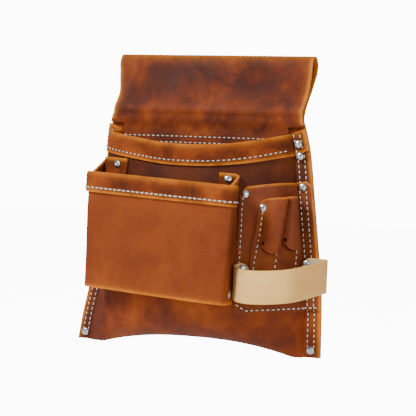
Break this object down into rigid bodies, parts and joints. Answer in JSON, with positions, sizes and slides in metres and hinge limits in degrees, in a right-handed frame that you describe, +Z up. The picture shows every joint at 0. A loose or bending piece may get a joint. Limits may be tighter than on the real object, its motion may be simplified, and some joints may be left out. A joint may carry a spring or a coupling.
{
  "type": "electrician tool pouch",
  "caption": "Leather tool bag that hangs from a work belt, with a wide main pocket, a box-shaped fastener pocket, a flat tool pocket, pencil sleeves and a hammer loop.",
  "frame": {"origin": "middle of the belt tunnel, halfway across the bag and halfway between the bend line under the belt and the top of the fold, in the upright plane through the tunnel", "axes": "+X across the bag towards the tool pocket and hammer loop, which is the right of the picture; +Y from the pockets towards the wearer; +Z up towards the belt"},
  "size_m": [0.2909, 0.1267, 0.3172],
  "materials": {
    "hide": "oiled pull-up leather, red-brown, matt",
    "pale_strap": "natural vegetable-tanned strap leather, smooth",
    "rivet": "nickel-plated steel, softly polished",
    "thread": "waxed cream polyester thread"
  },
  "bodies": {
    "belt_tunnel": {"belt_tunnel": "hide"},
    "pouch": {"back_panel": "hide", "main_pocket_front": "hide", "belt_flap_tail": "hide", "box_pocket_shell": "hide", "box_pocket_floor": "hide", "tool_pocket_panel": "hide", "pencil_sleeves": "hide", "strap_tab_left": "pale_strap", "strap_tab_right": "pale_strap", "rivet_right_bottom": "rivet", "rivet_right_upper": "rivet", "rivet_right_top": "rivet", "rivet_left_bottom": "rivet", "rivet_left_upper": "rivet", "rivet_left_top": "rivet", "rivet_tool_right": "rivet", "rivet_tab_right_upper": "rivet", "rivet_tab_right_lower": "rivet", "rivet_tab_left_upper": "rivet", "rivet_tab_left_lower": "rivet", "rivet_box_left": "rivet", "rivet_box_right": "rivet", "rivet_tool_left": "rivet", "rivet_sleeve": "rivet", "rivet_box_corner_left": "rivet", "rivet_box_corner_right": "rivet", "thread_tunnel_upper": "thread", "thread_tunnel_lower": "thread", "thread_main_hem": "thread", "thread_box_hem": "thread", "thread_seam_right_outer": "thread", "thread_seam_right_inner": "thread", "thread_seam_left_outer": "thread", "thread_seam_left_inner": "thread", "thread_tool_left": "thread", "thread_tool_bottom": "thread", "thread_sleeve_left": "thread", "thread_sleeve_middle": "thread", "thread_sleeve_right": "thread"},
    "hammer_strap": {"hammer_strap": "pale_strap"}
  },
  "joints": [
    {"name": "waist_flex", "type": "hinge", "parent": "belt_tunnel", "child": "pouch", "pos_m": [0, -0.0252, -0.034], "axis": [-1, 0, 0], "range_deg": [0, 60]},
    {"name": "strap_rock", "type": "hinge", "parent": "pouch", "child": "hammer_strap", "pos_m": [0.0655, -0.082, -0.2065], "axis": [0.8991, 0.424, 0.1087], "range_deg": [-12, 15], "stiffness_Nm_per_rad": 0.3}
  ]
}
